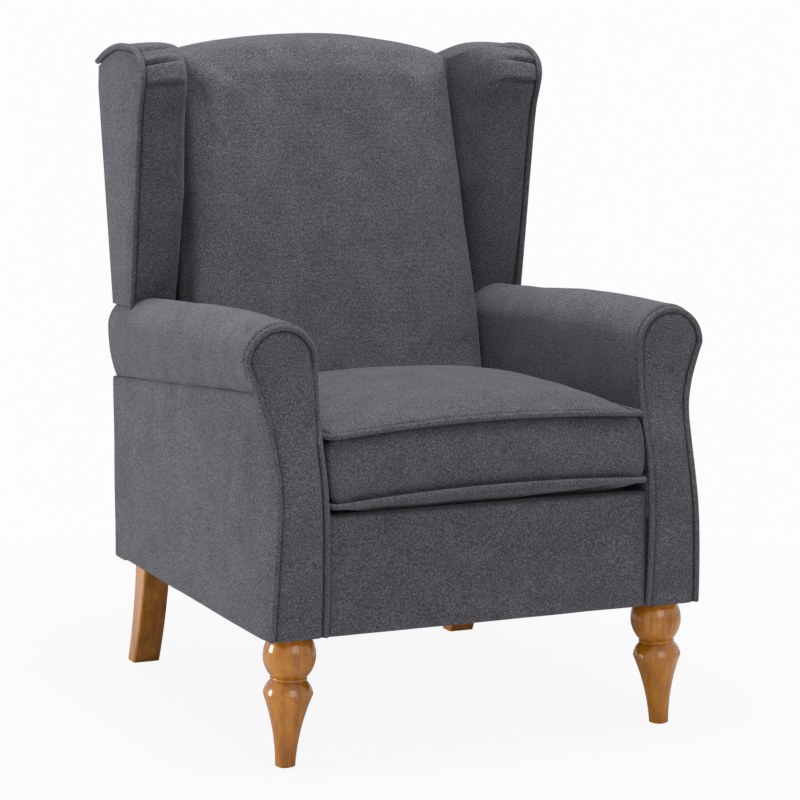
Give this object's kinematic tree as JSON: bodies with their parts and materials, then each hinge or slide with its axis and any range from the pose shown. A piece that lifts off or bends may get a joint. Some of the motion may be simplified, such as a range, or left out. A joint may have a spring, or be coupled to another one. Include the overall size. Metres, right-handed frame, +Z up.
{
  "type": "reading chair",
  "caption": "Upholstered wing armchair with rolled arms, piped facings, a loose box seat cushion and wooden legs, for sitting and reading.",
  "frame": {"origin": "on the floor, below the middle of the chair's bounding box", "axes": "+Z up, -Y towards the front of the chair, +X to the right as seen from in front"},
  "size_m": [0.7164, 0.79, 1.0199],
  "materials": {
    "upholstery": "brushed chenille weave",
    "piping": "self-covered cord",
    "foam": "open-cell foam",
    "black_cloth": "plain black cloth",
    "frame_timber": "planed, unfinished",
    "leg_wood": "glossy varnish",
    "steel": "zinc plated",
    "glide_plastic": "moulded"
  },
  "bodies": {
    "chair": {"front_rail": "frame_timber", "rear_rail": "frame_timber", "lower_back_rail": "frame_timber", "crest_rail": "frame_timber", "corner_blocks": "frame_timber", "seat_springs": "steel", "spring_clips": "glide_plastic", "spring_insulator": "black_cloth", "back_webbing": "black_cloth", "seat_deck": "upholstery", "front_border": "upholstery", "inside_back": "upholstery", "outside_back": "upholstery", "dust_cover": "black_cloth", "leg_glides": "glide_plastic", "hanger_bolts": "steel", "leg_inserts": "steel", "rear_leg_bolts": "steel", "rear_leg_nuts": "steel", "left_side_rail": "frame_timber", "right_side_rail": "frame_timber", "left_front_post": "frame_timber", "right_front_post": "frame_timber", "left_rear_post": "frame_timber", "right_rear_post": "frame_timber", "left_arm_rail": "frame_timber", "right_arm_rail": "frame_timber", "left_wing_board": "frame_timber", "right_wing_board": "frame_timber", "left_arm_pad": "upholstery", "right_arm_pad": "upholstery", "left_outside_arm": "upholstery", "right_outside_arm": "upholstery", "left_arm_facing": "upholstery", "right_arm_facing": "upholstery", "left_facing_piping": "piping", "right_facing_piping": "piping", "left_wing_pad": "upholstery", "right_wing_pad": "upholstery", "left_outside_wing": "upholstery", "right_outside_wing": "upholstery", "left_wing_piping": "piping", "right_wing_piping": "piping", "left_front_leg": "leg_wood", "right_front_leg": "leg_wood", "left_rear_leg": "leg_wood", "right_rear_leg": "leg_wood"},
    "seat_cushion": {"cushion_cover": "upholstery", "cushion_foam": "foam", "cushion_top_piping": "piping", "cushion_bottom_piping": "piping", "cushion_zip": "black_cloth"},
    "zip_slider": {"zip_slider": "steel"}
  },
  "joints": [
    {"name": "cushion_lift", "type": "slide", "parent": "chair", "child": "seat_cushion", "axis": [0, 0, 1], "range_m": [0, 0.3]},
    {"name": "zip_slide", "type": "slide", "parent": "seat_cushion", "child": "zip_slider", "axis": [-1, 0, 0], "range_m": [0, 0.388]}
  ]
}
